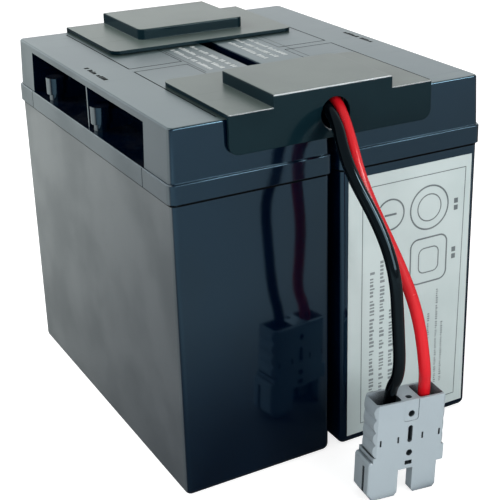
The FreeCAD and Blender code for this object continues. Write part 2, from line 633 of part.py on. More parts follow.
def make_contact(colour):
    """Plated contact: crimp barrel on top, flat blade with a hooked tip below."""
    x = POLE[colour]
    barrel = cylinder(BARREL_R, (x, POLE_Y, BARREL_FOOT), (x, POLE_Y, BARREL_TOP))
    x = BLADE[colour]
    y = BLADE_Y[colour]
    blade = box(x - BLADE_HX, x + BLADE_HX, y, y + BLADE_THICK, BLADE_Z, BARREL_FOOT + 0.3)
    tip = [e for e in blade.Edges if all(v.Z < BLADE_Z + 0.1 and v.Y < y + 0.1 for v in e.Vertexes)]
    return barrel.fuse(blade.makeChamfer(BLADE_TIP, tip)).removeSplitter().Solids[0]


def make_spring(colour):
    """Leaf spring that presses a contact against its mate: a shallow bow of strip steel."""
    x = BLADE[colour] - SPRING_WIDE / 2
    y = BLADE_Y[colour] - 0.1
    middle = (SPRING_Z0 + SPRING_Z1) / 2
    low, bow, high = [Vector(x, y - SPRING_THICK, SPRING_Z0),
                      Vector(x, y - SPRING_THICK - SPRING_BOW, middle),
                      Vector(x, y - SPRING_THICK, SPRING_Z1)]
    step = Vector(0, SPRING_THICK, 0)
    edges = [Part.Arc(low, bow, high).toShape(), Part.Arc(low + step, bow + step, high + step).toShape(),
             Part.makeLine(low, low + step), Part.makeLine(high, high + step)]
    outline = Part.Wire(Part.__sortEdges__(edges))
    return Part.Face(outline).extrude(Vector(SPRING_WIDE, 0, 0))


# ================================================================ label and pads
def make_label():
    """Paper label on the front of the right battery, flat on its leaning wall."""
    lean = math.degrees(math.atan((CASE_HY1 - CASE_HY0) / CASE_TOP))
    x0, x1, z0, z1 = LABEL
    label = box(x0, x1, -CASE_HY0 - LABEL_THICK, -CASE_HY0, z0, z1)
    label.rotate(Vector(0, -CASE_HY0, 0), Vector(1, 0, 0), lean)
    return label


def make_foam_pad(z0, z1):
    """Double-sided foam between the two cases, as thick as the gap is at each height."""
    def gap(z):
        """Half the gap between the cases at a height."""
        return BATTERY_X - CASE_HX0 - (CASE_HX1 - CASE_HX0) * z / CASE_TOP
    profile = [(-gap(z0), -FOAM_HY, z0), (gap(z0), -FOAM_HY, z0),
               (gap(z1), -FOAM_HY, z1), (-gap(z1), -FOAM_HY, z1)]
    return prism(profile, (0, 2 * FOAM_HY, 0))


# ================================================================ build
def main():
    """Make every piece and write it."""
    os.makedirs("parts", exist_ok=True)
    left_pieces = {"case": make_case(), "lid": make_lid(), "valve_caps": make_valve_caps()}
    for number, y in enumerate(cell_centres(), 1):
        left_pieces["cell_%d" % number] = make_plate_pack(y)
    for which in COVERS:
        left_pieces["vent_cover_" + which] = make_vent_cover(which)
    for side, which in ((-1, "front"), (1, "rear")):
        left_pieces["terminal_" + which] = make_terminal(side)
        left_pieces["terminal_seal_" + which] = make_seal(side)
    swapped = {"front": "rear", "rear": "front"}
    for name, shape in left_pieces.items():
        shape.translate(Vector(-BATTERY_X, 0, 0))
        save("left_" + name, shape)
        stem, _, end = name.rpartition("_")
        save("right_" + (stem + "_" + swapped[end] if end in swapped else name), turned(shape))

    save("terminal_bolts", make_bolts(TERMINAL_Z + LUG_THICK))
    save("terminal_nuts", make_nuts())
    save("rear_link_bar", make_link())

    for which in ("front", "rear"):
        cap = make_cap(which == "front")
        pads = make_cap_pads()
        if which == "rear":
            cap, pads = turned(cap), turned(pads)
        for name, shape in (("cap", cap), ("cap_pads", pads)):
            shape.translate(Vector(CAP_SHIFT[which], 0, 0))
            save(which + "_" + name, shape)

    save("rating_label", make_label())
    for which, (z0, z1) in FOAM_Z.items():
        save("foam_pad_" + which, make_foam_pad(z0, z1))

    place = connector_placement()
    housing = make_housing()
    housing.Placement = place
    save("connector_housing", housing)
    for colour in ("red", "black"):
        for name, shape in (("contact", make_contact(colour)), ("contact_spring", make_spring(colour))):
            shape.Placement = place
            save(colour + "_" + name, shape)
        save(colour + "_lug", make_lug(colour))
        lead, length, radii = tube_along(LEAD_ROUTES[colour], LEAD_R)
        save(colour + "_lead", lead)
        expected = math.pi * LEAD_R ** 2 * length
        print("%s lead: length %.1f mm, smallest bend radius %.1f mm, volume %.0f of %.0f mm3"
              % (colour, length, min(radii), lead.Volume, expected))
        print("   radii", ["%.0f" % r for r in radii])


main()
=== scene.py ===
# %% [markdown]
# # A battery cartridge for a small uninterruptible power supply
# Two sealed lead-acid batteries stand side by side. A black cap covers the terminals at each end.
# A red and a black lead leave the front cap and end in a grey two-pole power connector.
#
# The solids come from a CAD model that is loaded as a fixed frame. This lesson dresses it: leads that
# hang in one smooth curve, polished and satin plastics, a printed label, and plain studio light.
# Lengths are metres. X goes across the pair, -Y is the side with the leads, +Z is up.

import json
import math
import random

import bmesh
import bpy
from mathutils import Matrix, Vector


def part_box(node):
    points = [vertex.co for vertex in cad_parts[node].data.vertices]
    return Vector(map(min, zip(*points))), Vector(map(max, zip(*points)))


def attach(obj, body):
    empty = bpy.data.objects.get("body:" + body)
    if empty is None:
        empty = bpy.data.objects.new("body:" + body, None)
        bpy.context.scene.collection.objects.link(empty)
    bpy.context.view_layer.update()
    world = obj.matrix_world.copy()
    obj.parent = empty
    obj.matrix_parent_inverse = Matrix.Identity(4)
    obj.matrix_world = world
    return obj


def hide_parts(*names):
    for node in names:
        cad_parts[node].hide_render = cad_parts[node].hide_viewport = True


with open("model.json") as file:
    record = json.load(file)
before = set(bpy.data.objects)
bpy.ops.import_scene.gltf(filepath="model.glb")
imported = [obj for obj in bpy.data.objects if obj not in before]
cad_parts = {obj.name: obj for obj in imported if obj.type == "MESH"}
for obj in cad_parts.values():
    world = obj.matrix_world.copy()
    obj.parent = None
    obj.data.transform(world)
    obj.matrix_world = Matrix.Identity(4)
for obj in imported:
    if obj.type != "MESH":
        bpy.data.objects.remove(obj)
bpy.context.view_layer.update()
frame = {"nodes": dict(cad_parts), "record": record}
MM = 0.001

# %% [markdown]
# ## Which solid has which finish
# The record that comes with the frame names a material slot for every solid. Reading the slots from
# it, instead of listing solids by hand, means that every piece gets a finish and none is forgotten.

# %% Slots and boxes
slot_of = {part["node"]: part["material_slot"] for part in frame["record"]["subparts"]}
lid_left, lid_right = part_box("left_lid"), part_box("right_lid")
cap_front, label_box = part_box("front_cap"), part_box("rating_label")
LID_TOP = lid_left[1][2]
print(len(slot_of), "solids in", len(set(slot_of.values())), "finishes")

# %% [markdown]
# ## The camera
# A long lens from a little above, seen from the front left corner. A camera object looks along its
# own -Z, so the view is built from three turns: heading, downward tilt and a trace of roll.
# The small lens shift frames the object without turning the camera.

# %% Camera
CAMERA_PLACE = Vector((-0.2509, -0.4891, 0.3035))
HEADING, TILT, ROLL = math.radians(30.92), math.radians(21.33), math.radians(-0.42)
FOCAL_PER_WIDTH = 2.3726
SHIFT = (-0.1232, -0.0840)

camera_data = bpy.data.cameras.new("studio_camera")
camera_data.sensor_width = 36.0
camera_data.lens = camera_data.sensor_width * FOCAL_PER_WIDTH
camera_data.shift_x, camera_data.shift_y = SHIFT
camera = bpy.data.objects.new("studio_camera", camera_data)
bpy.context.collection.objects.link(camera)
turns = Matrix.Rotation(-HEADING, 4, "Z") @ Matrix.Rotation(math.pi / 2 - TILT, 4, "X")
camera.matrix_world = Matrix.Translation(CAMERA_PLACE) @ turns @ Matrix.Rotation(ROLL, 4, "Z")
bpy.context.scene.camera = camera
bpy.context.scene.view_settings.view_transform = "Standard"
print("lens %.1f mm" % camera_data.lens)

# %% [markdown]
# ## The two leads
# Stranded copper in soft PVC, 5.3 mm across and stiff enough to stand. A cable never has corners: it is
# one smooth bend after another. A NURBS curve does just that: it glides past its control points,
# and its ends touch the first and last one. Each point carries the radius of the tube, and a round
# bevel one metre deep is scaled by it. The order is set after the points are there, because Blender
# lowers it while the curve is empty. The points are in millimetres, and the second one of each lead is
# by the hole in the cap.

# %% Leads
LEAD_DIAMETER = 0.0053
LEAD_POINTS = {
    "red": [
        (2.6, -85.0, 166.0), (1.5, -91.4, 163.6), (-0.5, -101.6, 154.7), (-2.3, -113.7, 137.8),
        (10.9, -125.0, 100.6), (15.3, -131.0, 80.9), (16.2, -135.1, 59.4),
        (18.95, -131.55, 49.2), (18.43, -131.5, 38.2)],
    "black": [
        (-4.0, -85.0, 166.4), (-4.3, -96.8, 163.9), (-9.6, -113.2, 147.5), (-2.2, -127.2, 123.9),
        (-1.1, -136.8, 106.8), (0.5, -137.1, 84.3), (2.4, -136.6, 60.3),
        (1.95, -129.89, 50.0), (1.44, -129.84, 39.0)],
}


def make_lead(colour):
    """One lead as a round NURBS curve."""
    curve = bpy.data.curves.new(colour + "_lead_curve", "CURVE")
    curve.dimensions = "3D"
    spline = curve.splines.new("NURBS")
    points = LEAD_POINTS[colour]
    spline.points.add(len(points) - 1)
    for point, place in zip(spline.points, points):
        point.co = (place[0] * MM, place[1] * MM, place[2] * MM, 1.0)
        point.radius = LEAD_DIAMETER / 2
    spline.order_u = 3
    spline.use_endpoint_u = True
    curve.resolution_u = 16
    curve.bevel_depth = 1.0     # times the radius of each point
    curve.bevel_resolution = 8
    curve.use_fill_caps = True
    lead = bpy.data.objects.new(colour + "_lead_smooth", curve)
    bpy.context.collection.objects.link(lead)
    return lead


leads = {}
for colour in LEAD_POINTS:
    leads[colour] = make_lead(colour)
    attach(leads[colour], "root")
    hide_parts(colour + "_lead")
    print(colour, "lead: %d control points" % len(LEAD_POINTS[colour]))

# %% [markdown]
# ## Node helpers
# Shader trees are easier to read when each node is made in one line with its inputs. `Tree` wraps a
# node tree: `add` makes a node, sets plain values, and links any input that is given a socket.

# %% Node tree helper
class Tree:
    """A thin wrapper that makes nodes and links in one call."""

    def __init__(self, node_tree):
        self.tree = node_tree

    def add(self, kind, settings=None, **inputs):
        """Make a node. Underscores in input names stand for spaces; in0, in1 are positions."""
        node = self.tree.nodes.new(kind)
        for key, value in (settings or {}).items():
            setattr(node, key, value)
        for key, value in inputs.items():
            place = int(key[2:]) if key[:2] == "in" and key[2:].isdigit() else key.replace("_", " ")
            self.feed(node.inputs[place], value)
        return node

    def feed(self, socket, value):
        """Link a socket, or set a plain value."""
        if isinstance(value, bpy.types.NodeSocket):
            self.tree.links.new(value, socket)
        else:
            socket.default_value = value

    def math(self, operation, *values):
        """One Math node: returns its value."""
        named = {"in%d" % i: v for i, v in enumerate(values)}
        return self.add("ShaderNodeMath", {"operation": operation}, **named).outputs[0]

    def mix(self, factor, a, b):
        """Colour mix: returns the colour."""
        node = self.tree.nodes.new("ShaderNodeMix")
        node.data_type = "RGBA"
        self.feed(node.inputs["Factor"], factor)
        self.feed(node.inputs[6], a)
        self.feed(node.inputs[7], b)
        return node.outputs[2]

    def ramp(self, factor, start, end):
        """0 below start, 1 above end, smooth between."""
        node = self.add("ShaderNodeMapRange", {"interpolation_type": "SMOOTHSTEP"}, Value=factor)
        node.inputs["From Min"].default_value = start
        node.inputs["From Max"].default_value = end
        return node.outputs[0]


def rgb(*values):
    """A linear colour from 0-255 display values."""
    return tuple((v / 255) ** 2.2 for v in values) + (1.0,)


# %% [markdown]
# ## Shared effects as node groups
# Moulded plastic is never perfectly even. Four small effects are used by every plastic here, so each is
# a node group with named inputs: a fine orange-peel grain, a slow drift of tone, hairline scuffs from
# handling, and dust that settles on faces that look up. Four more groups serve only some plastics. They
# read object coordinates, so they stay in place when the object is seen from elsewhere.

# %% Group helper
def new_group(name, inputs, outputs):
    """A node group with float or colour sockets: returns (group, tree, input node, output node)."""
    group = bpy.data.node_groups.new(name, "ShaderNodeTree")
    for label, kind, value in inputs:
        socket = group.interface.new_socket(label, in_out="INPUT", socket_type=kind)
        socket.default_value = value
    for label, kind in outputs:
        group.interface.new_socket(label, in_out="OUTPUT", socket_type=kind)
    tree = Tree(group)
    return group, tree, tree.add("NodeGroupInput"), tree.add("NodeGroupOutput")


FLOAT, COLOUR = "NodeSocketFloat", "NodeSocketColor"

# %% [markdown]
# **Grain.** Polished steel moulds leave a faint waviness, and eroded moulds a finer matt grain. Two
# noises of different size, added, give a height for a Bump node.

# %% Grain group
WAVE_SCALE, WAVE_GAIN = 0.05, 6.0
grain_group, t, given, result = new_group(
    "mould_grain", [("Size", FLOAT, 600.0), ("Wave", FLOAT, 0.5)], [("Height", FLOAT)])
where = t.add("ShaderNodeTexCoord").outputs["Object"]
fine = t.add("ShaderNodeTexNoise", Vector=where, Scale=given.outputs["Size"], Detail=3.0)
slow_scale = t.math("MULTIPLY", given.outputs["Size"], WAVE_SCALE)
slow = t.add("ShaderNodeTexNoise", Vector=where, Scale=slow_scale, Detail=1.0)
waves = t.math("MULTIPLY", slow.outputs[0], t.math("MULTIPLY", given.outputs["Wave"], WAVE_GAIN))
t.feed(result.inputs["Height"], t.math("ADD", fine.outputs[0], waves))
print("group", grain_group.name)

# %% [markdown]
# **Drift.** Pigment and cooling leave cloudy differences of a few percent between two near tones.

# %% Tone group
tone_group, t, given, result = new_group(
    "tone_drift", [("Tone A", COLOUR, (0, 0, 0, 1)), ("Tone B", COLOUR, (0, 0, 0, 1)),
                   ("Size", FLOAT, 30.0)], [("Color", COLOUR)])
where = t.add("ShaderNodeTexCoord").outputs["Object"]
cloud = t.add("ShaderNodeTexNoise", Vector=where, Scale=given.outputs["Size"], Detail=5.0)
blend = t.ramp(cloud.outputs[0], 0.35, 0.65)
t.feed(result.inputs["Color"], t.mix(blend, given.outputs["Tone A"], given.outputs["Tone B"]))
print("group", tone_group.name)

# %% [markdown]
# **Scuffs.** Hairline marks run in all directions. A noise squeezed along one axis gives streaks, and
# only its highest crests count. Two sets at an angle look like handling, not like brushing.

# %% Scuff group
SCUFF_SETS = (((0.3, 0.5, 0.4), (22, 700, 700)), ((1.1, -0.6, 1.9), (18, 640, 640)))    # turn, squeeze
scuff_group, t, given, result = new_group(
    "hairline_scuffs", [("Amount", FLOAT, 0.5)], [("Mask", FLOAT)])
where = t.add("ShaderNodeTexCoord").outputs["Object"]
sets = []
for turn, squeeze in SCUFF_SETS:
    mapped = t.add("ShaderNodeMapping", Vector=where, Rotation=turn, Scale=squeeze)
    streak = t.add("ShaderNodeTexNoise", Vector=mapped.outputs[0], Scale=1.0, Detail=2.0)
    sets.append(t.ramp(streak.outputs[0], 0.66, 0.74))
patch = t.add("ShaderNodeTexNoise", Vector=where, Scale=14.0, Detail=2.0)
here = t.ramp(patch.outputs[0], 0.45, 0.62)
streaks = t.math("MULTIPLY", t.math("MAXIMUM", sets[0], sets[1]), here)
t.feed(result.inputs["Mask"], t.math("MULTIPLY", streaks, given.outputs["Amount"]))
print("group", scuff_group.name)

# %% [markdown]
# **Dust.** It lies on faces whose normal points up, in soft patches.

# %% Dust group
dust_group, t, given, result = new_group(
    "settled_dust", [("Amount", FLOAT, 0.2)], [("Mask", FLOAT)])
normal = t.add("ShaderNodeNewGeometry").outputs["Normal"]
up = t.add("ShaderNodeSeparateXYZ", Vector=normal).outputs["Z"]
where = t.add("ShaderNodeTexCoord").outputs["Object"]
patch = t.add("ShaderNodeTexNoise", Vector=where, Scale=60.0, Detail=6.0, Roughness=0.7)
flat = t.ramp(up, 0.6, 0.98)
speck = t.ramp(patch.outputs[0], 0.42, 0.75)
specks = t.math("MULTIPLY", flat, speck)
t.feed(result.inputs["Mask"], t.math("MULTIPLY", specks, given.outputs["Amount"]))
print("group", dust_group.name)

# %% [markdown]
# ** Satin and polished faces.** The mould of a battery has polished ends, and finely blasted outer sides
# and top. The blasted faces get a rougher finish, and their colour is painted charcoal instead of
# black:
# painted sheen that stands for the light such faces scatter. The direction and place of a face tell
# which kind it is, so one material covers the whole moulding. The finger recesses and the sides that
# face each other in the gap stay polished and dark. An edge that leans between a side and the top
# counts as a side. The third mask is painted light: the sides are painted lighter at the upper back and
# darker towards the foot and the front, where the light falls from behind and above.

# %% Satin group
SIDE_DEPTH, TOP_DEPTH = 0.006, 0.002    # how far in from the skirt and down from the lid it counts
SIDE_TURN, TOP_TURN = (0.72, 0.9), (0.7, 0.9)
SATIN_SIDE_X = abs(lid_left[0][0]) - SIDE_DEPTH
SATIN_TOP_Z = LID_TOP - TOP_DEPTH
satin_and_fade_group, t, given, result = new_group(
    "satin_faces", [], [("Sides", FLOAT), ("Top", FLOAT), ("Fade", FLOAT)])
facing = t.add("ShaderNodeSeparateXYZ", Vector=t.add("ShaderNodeNewGeometry").outputs["Normal"])
where = t.add("ShaderNodeSeparateXYZ", Vector=t.add("ShaderNodeTexCoord").outputs["Object"])
outward = t.math("MULTIPLY", facing.outputs["X"], t.math("SIGN", where.outputs["X"]))
leaning = t.math("MULTIPLY", t.math("ADD", outward, facing.outputs["Z"]), math.sqrt(0.5))
sideways = t.math("MAXIMUM", outward, leaning)
outside = t.math("GREATER_THAN", t.math("ABSOLUTE", where.outputs["X"]), SATIN_SIDE_X)
on_top = t.math("GREATER_THAN", where.outputs["Z"], SATIN_TOP_Z)
t.feed(result.inputs["Sides"], t.math("MULTIPLY", t.ramp(sideways, *SIDE_TURN), outside))
t.feed(result.inputs["Top"], t.math("MULTIPLY", t.ramp(facing.outputs["Z"], *TOP_TURN), on_top))
# Painted light: this mask rises from the foot and the front to the upper back, where the sides are
# painted lighter.
diagonal = t.math("ADD", where.outputs["Y"], where.outputs["Z"])
t.feed(result.inputs["Fade"], t.ramp(diagonal, lid_left[0][1], lid_left[1][1] + LID_TOP))
print("group", satin_and_fade_group.name)

# %% [markdown]
# **Bowed walls.** The thin ends of a sealed battery bulge and lean by a fraction of a millimetre.
# Nobody sees that as a shape, but it shifts every mirror image. The height rises evenly away from the
# gap, and falls off with the square of the distance from the middle of the battery. It goes to a Bump
# node as real metres.

# %% Bowed wall group
BATTERY_MIDDLE = (lid_right[0][0] + lid_right[1][0]) / 2
BOW = 0.45
LEAN = 0.056
bow_group, t, given, result = new_group(
    "bowed_wall", [("Bow", FLOAT, BOW), ("Lean", FLOAT, LEAN)], [("Height", FLOAT)])
parts = t.add("ShaderNodeSeparateXYZ", Vector=t.add("ShaderNodeTexCoord").outputs["Object"])
from_gap = t.math("ABSOLUTE", parts.outputs["X"])
off_middle = t.math("SUBTRACT", from_gap, BATTERY_MIDDLE)
fall = t.math("MULTIPLY", t.math("MULTIPLY", off_middle, off_middle), given.outputs["Bow"])
rise = t.math("MULTIPLY", from_gap, given.outputs["Lean"])
t.feed(result.inputs["Height"], t.math("SUBTRACT", rise, fall))
print("group", bow_group.name)

# %% [markdown]
# ** Painted crevice shade.** Holes, slots and inner corners are painted darker, as painted shade.
# Ambient occlusion measures how closed in a point is, and its mask darkens the colour there.

# %% Crevice group
crevice_shade_group, t, given, result = new_group(
    "crevice_shade", [("Reach", FLOAT, 0.007), ("Amount", FLOAT, 0.6)], [("Mask", FLOAT)])
closed = t.add("ShaderNodeAmbientOcclusion", {"samples": 6}, Distance=given.outputs["Reach"])
depth = t.ramp(t.math("SUBTRACT", 1.0, closed.outputs["AO"]), 0.2, 0.65)
t.feed(result.inputs["Mask"], t.math("MULTIPLY", depth, given.outputs["Amount"]))
print("group", crevice_shade_group.name)

# %% [markdown]
# ** Painted rim highlight.** The upper front edges of the front cap are painted pale: a painted
# highlight where light from high in front would catch them. The Bevel node gives a rounded normal near
# an edge, and the mask is full where that normal points forward and up at once. The rear cap is left
# out.

# %% Painted rim highlight group
rim_highlight_group, t, given, result = new_group(
    "painted_rim_highlight", [("Radius", FLOAT, 0.0008), ("Amount", FLOAT, 0.8)], [("Mask", FLOAT)])
turned = t.add("ShaderNodeBevel", {"samples": 6}, Radius=given.outputs["Radius"])
parts = t.add("ShaderNodeSeparateXYZ", Vector=turned.outputs[0])
both = t.math("MULTIPLY", t.math("MULTIPLY", parts.outputs["Y"], parts.outputs["Z"]), -2.0)
where = t.add("ShaderNodeSeparateXYZ", Vector=t.add("ShaderNodeTexCoord").outputs["Object"])
in_front = t.math("LESS_THAN", where.outputs["Y"], 0.0)
glinting = t.math("MULTIPLY", t.ramp(both, 0.55, 0.95), in_front)
t.feed(result.inputs["Mask"], t.math("MULTIPLY", glinting, given.outputs["Amount"]))
print("group", rim_highlight_group.name)

# %% [markdown]
# **Rounded rims.** A real moulded edge has a radius of a few tenths of a millimetre, and it catches
# the light. The Bevel node rounds the normal near an edge without adding a face. It stays in each
# material, ahead of the Bump node.

# %% Plastic builder
DRIFT_SIZE = 24.0
# Of these colours, the second is painted shade for hollows, and the third a painted highlight for rims.
DUST_COLOUR, CREVICE_SHADE_COLOUR, RIM_HIGHLIGHT_COLOUR = (176, 174, 168), (20, 28, 34), (236, 241, 244)
SCUFF_ROUGHNESS, DUST_ROUGHNESS = 0.2, 0.6
GRAIN_HEIGHT = 0.0004


def plastic(name, tones, roughness, rim=0.0003, grain=(600.0, 0.5, 0.02), scuffs=0.4, dust=0.1,
            ior=1.5, tint=(1.0, 1.0, 1.0), satin=None, bowed=False, crevice_shade=0.0, rim_glint=0.0):
    """A moulded plastic: two near tones, grain, scuffs, dust and softened rims.

    grain is its size, waviness and strength. satin gives the blasted faces of a moulding: their painted
    tones, which stand for the sheen of blasted plastic, of the sides at the front foot (painted shade),
    of the sides at the upper back (painted light) and of the top, then the roughness.
    A bowed plastic needs a rim.
    """
    material = bpy.data.materials.new(name)
    material.use_nodes = True
    tree = Tree(material.node_tree)
    shader = material.node_tree.nodes["Principled BSDF"]

    def drifting(pair):
        """The colour of two tones that drift into each other."""
        return tree.add("ShaderNodeGroup", {"node_tree": tone_group}, Size=DRIFT_SIZE,
                        Tone_A=rgb(*pair[0]), Tone_B=rgb(*pair[1])).outputs["Color"]

    colour = drifting(tones)
    rough = roughness
    # Painted sheen: blasted faces get charcoal tones instead of black.
    if satin:
        shaded_foot_tones, lit_back_tones, sheen_top_tones, satin_roughness = satin
        blasted = tree.add("ShaderNodeGroup", {"node_tree": satin_and_fade_group})
        both = blasted.outputs["Top"]
        # Painted light: the sides go from painted shade at the foot and front to a painted lit tone at
        # the upper back.
        if shaded_foot_tones:
            side = tree.mix(blasted.outputs["Fade"], drifting(shaded_foot_tones), drifting(lit_back_tones))
            colour = tree.mix(blasted.outputs["Sides"], colour, side)
            both = tree.math("MAXIMUM", both, blasted.outputs["Sides"])
        colour = tree.mix(blasted.outputs["Top"], colour, drifting(sheen_top_tones))
        rough = tree.math("MULTIPLY_ADD", both, satin_roughness - roughness, roughness)
    dusty = tree.add("ShaderNodeGroup", {"node_tree": dust_group}, Amount=dust)
    scuffed = tree.add("ShaderNodeGroup", {"node_tree": scuff_group}, Amount=scuffs)
    colour = tree.mix(dusty.outputs["Mask"], colour, rgb(*DUST_COLOUR))
    # Painted shade: the colour is darkened in hollows and inner corners.
    if crevice_shade:
        closed = tree.add("ShaderNodeGroup", {"node_tree": crevice_shade_group}, Amount=crevice_shade)
        colour = tree.mix(closed.outputs["Mask"], colour, rgb(*CREVICE_SHADE_COLOUR))
    # Painted highlight: a pale colour on the front cap's upper front edges.
    if rim_glint:
        glinting = tree.add("ShaderNodeGroup", {"node_tree": rim_highlight_group}, Radius=2 * rim, Amount=rim_glint)
        colour = tree.mix(glinting.outputs["Mask"], colour, rgb(*RIM_HIGHLIGHT_COLOUR))
    tree.feed(shader.inputs["Base Color"], colour)
    rough = tree.math("MULTIPLY_ADD", scuffed.outputs["Mask"], SCUFF_ROUGHNESS, rough)
    rough = tree.math("MULTIPLY_ADD", dusty.outputs["Mask"], DUST_ROUGHNESS, rough)
    tree.feed(shader.inputs["Roughness"], rough)
    shader.inputs["IOR"].default_value = ior
    shader.inputs["Specular Tint"].default_value = tint + (1.0,)
    size, wave, depth = grain
    height = tree.add("ShaderNodeGroup", {"node_tree": grain_group}, Size=size, Wave=wave)
    bump = tree.add("ShaderNodeBump", Height=height.outputs["Height"], Strength=depth,
                    Distance=GRAIN_HEIGHT)
    if rim:
        rounded = tree.add("ShaderNodeBevel", {"samples": 6}, Radius=rim)
        tree.feed(bump.inputs["Normal"], rounded.outputs[0])
    if bowed:
        wall = tree.add("ShaderNodeGroup", {"node_tree": bow_group})
        bow = tree.add("ShaderNodeBump", Height=wall.outputs["Height"], Strength=1.0, Distance=1.0)
        tree.feed(bow.inputs["Normal"], rounded.outputs[0])
        tree.feed(bump.inputs["Normal"], bow.outputs[0])
    tree.feed(shader.inputs["Normal"], bump.outputs[0])
    return material


# %% [markdown]
# ## The plastics
# Battery cases are blue-black ABS, so their polished ends mirror the leads in front of them with a
# navy tint. The caps are a separate moulding in a slightly warmer black. The connector is light
# grey polycarbonate, and the insulation is soft PVC. Below them are the pieces that are hidden inside.

# %% Plastics
NAVY = ((0, 13, 26), (2, 17, 31))
NAVY_TINT = (0.42, 0.76, 1.0)
finishes = {}
# The satin tones are painted: charcoal sheen on blasted faces, shade at the foot of the sides, light at
# their upper back, and sheen on the top.
finishes["case"] = plastic("case_abs", NAVY, 0.07, grain=(420.0, 0.5, 0.01),
                           scuffs=0.3, dust=0.0, ior=1.7, tint=NAVY_TINT, bowed=True,
                           satin=(((66, 70, 73), (78, 82, 85)), ((118, 123, 122), (132, 137, 136)),
                                  ((60, 66, 66), (68, 74, 73)), 0.36))
finishes["lid"] = plastic("lid_abs", NAVY, 0.1, grain=(520.0, 0.6, 0.03),
                          scuffs=0.3, dust=0.03, ior=1.7, tint=NAVY_TINT, bowed=True,
                          satin=(((58, 64, 69), (68, 74, 79)), ((108, 116, 117), (120, 128, 129)),
                                 ((54, 67, 65), (62, 75, 72)), 0.34))
# The cap's top tones are painted sheen.
finishes["cap"] = plastic("cap_abs", ((14, 30, 36), (19, 36, 42)), 0.12, rim=0.0005,
                          grain=(800.0, 0.4, 0.04), scuffs=0.4, dust=0.03, ior=1.28,
                          # The rim amount below paints a pale highlight on the cap's upper front edges.
                          tint=(0.7, 0.95, 1.0), rim_glint=0.8,
                          satin=(None, None, ((82, 94, 91), (90, 102, 98)), 0.34))
# The connector's crevice amount paints shade into its holes and slots.
finishes["connector"] = plastic("connector_polycarbonate", ((152, 165, 173), (161, 174, 181)), 0.42,
                                grain=(900.0, 0.4, 0.08), scuffs=0.5, dust=0.0, crevice_shade=0.96)
finishes["red_insulation"] = plastic("red_pvc", ((202, 26, 36), (212, 32, 42)), 0.24, rim=0,
                                     grain=(500.0, 0.5, 0.04), scuffs=0.3, dust=0.0, ior=1.42)
finishes["black_insulation"] = plastic("black_pvc", ((0, 4, 8), (1, 7, 12)), 0.1, rim=0,
                                       grain=(500.0, 0.5, 0.04), scuffs=0.3, dust=0.0, ior=1.36,
                                       tint=(0.55, 0.85, 1.0))
finishes["label"] = plastic("label_paper", ((179, 193, 193), (187, 200, 200)), 0.5, rim=0,
                            grain=(1500.0, 0.3, 0.03), scuffs=0.2, dust=0.0)
finishes["foam"] = plastic("foam_pad", ((34, 34, 35), (42, 42, 43)), 0.9, rim=0,
                           grain=(1200.0, 0.5, 0.6), scuffs=0.0, dust=0.0)
finishes["valve_rubber"] = plastic("valve_rubber", ((26, 26, 26), (33, 33, 33)), 0.7,
                                   grain=(900.0, 0.5, 0.1), scuffs=0.0, dust=0.0)
finishes["resin"] = plastic("potting_resin", ((24, 24, 28), (34, 34, 38)), 0.2,
                            grain=(300.0, 0.8, 0.1), scuffs=0.0, dust=0.0)
finishes["adhesive"] = plastic("adhesive_pad", ((205, 204, 196), (214, 213, 205)), 0.6, rim=0,
                               grain=(900.0, 0.5, 0.1), scuffs=0.0, dust=0.0)
finishes["plates"] = plastic("plates_and_mat", ((112, 114, 118), (150, 150, 148)), 0.8,
                             grain=(700.0, 0.5, 0.4), scuffs=0.0, dust=0.0)
print(sorted(finishes))

# %% [markdown]
# ## The metals
# Bolts and nuts are zinc-plated steel, and the terminals and contacts are tinned or silvered. One
# builder is enough: a bare metal with a cloudy tone and an uneven gloss.

# %% Metals
METAL_DRIFT = 180.0
METAL_SCUFFS = 0.3


def plated(name, tones, roughness):
    """A plated metal with cloudy tone and fine scuffs."""
    material = bpy.data.materials.new(name)
    material.use_nodes = True
    tree = Tree(material.node_tree)
    shader = material.node_tree.nodes["Principled BSDF"]
    tone = tree.add("ShaderNodeGroup", {"node_tree": tone_group}, Size=METAL_DRIFT,
                    Tone_A=rgb(*tones[0]), Tone_B=rgb(*tones[1]))
    scuffed = tree.add("ShaderNodeGroup", {"node_tree": scuff_group}, Amount=1.0)
    tree.feed(shader.inputs["Base Color"], tone.outputs["Color"])
    shader.inputs["Metallic"].default_value = 1.0
    rough = tree.math("MULTIPLY_ADD", scuffed.outputs["Mask"], METAL_SCUFFS, roughness)
    tree.feed(shader.inputs["Roughness"], rough)
    height = tree.add("ShaderNodeGroup", {"node_tree": grain_group}, Size=900.0, Wave=0.3)
    bump = tree.add("ShaderNodeBump", Height=height.outputs["Height"], Strength=0.05,
                    Distance=GRAIN_HEIGHT)
    tree.feed(shader.inputs["Normal"], bump.outputs[0])
    return material


finishes["fasteners"] = plated("zinc_plated_steel", ((176, 178, 182), (196, 197, 199)), 0.3)
finishes["terminal"] = plated("tinned_brass", ((190, 187, 178), (206, 203, 195)), 0.35)
finishes["plated_copper"] = plated("silvered_copper", ((206, 202, 192), (220, 216, 206)), 0.25)

for node, slot_name in slot_of.items():
    mesh = frame["nodes"][node].data
    mesh.materials.clear()
    mesh.materials.append(finishes[slot_name])
for colour, lead in leads.items():
    lead.data.materials.append(finishes[colour + "_insulation"])
print("dressed", len(slot_of), "solids")

# %% [markdown]
# ## Print
# Real labels and lids carry small print. Here it is only its rhythm: rows of plain blocks that stand
# for words, and plain rings and frames where signs would be. Each print is one thin mesh of flat
# shapes, a few hundredths of a millimetre proud of its surface, so it needs no image. All numbers of a
# layout are millimetres: u goes to the right, v goes up or back. First come the shapes, as lists of
# corners.

